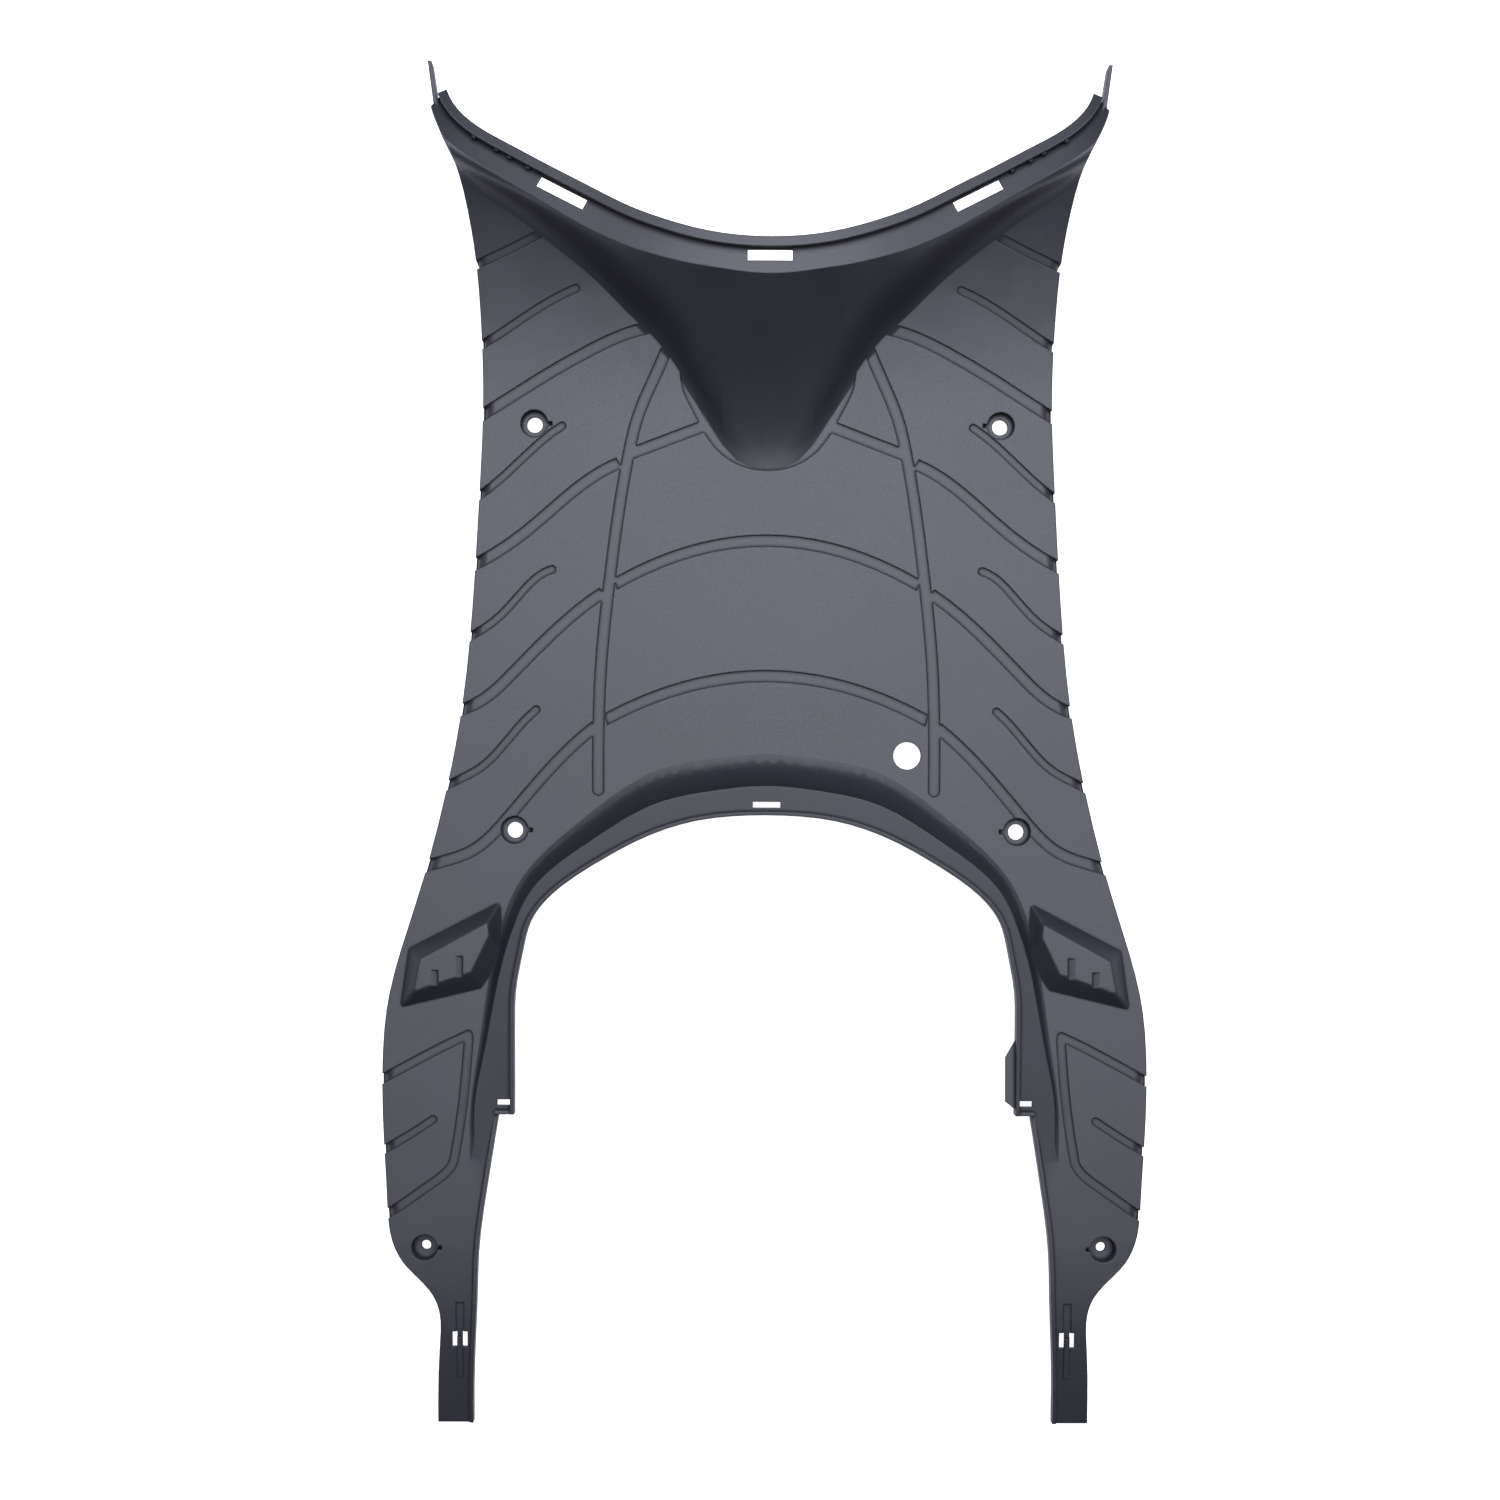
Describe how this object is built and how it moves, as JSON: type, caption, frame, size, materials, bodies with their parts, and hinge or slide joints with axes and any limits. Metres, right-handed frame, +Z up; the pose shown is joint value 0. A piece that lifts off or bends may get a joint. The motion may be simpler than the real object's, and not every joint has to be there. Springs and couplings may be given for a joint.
{
  "type": "scooter floorboard",
  "caption": "Moulded scooter floorboard with grooved foot floor, raised toe fascia with a hump, U-shaped seat edge, arms with sunk screw cups and tail clips",
  "frame": {"origin": "centre of the plan on the plane where the side skirts rest", "axes": "+X to the rider's right, +Y to the front of the scooter, +Z up"},
  "size_m": [0.4328, 0.762, 0.101],
  "materials": {
    "shell": "fine-grained satin charcoal, as moulded"
  },
  "bodies": {
    "root": {"floorboard": "shell"}
  },
  "joints": []
}
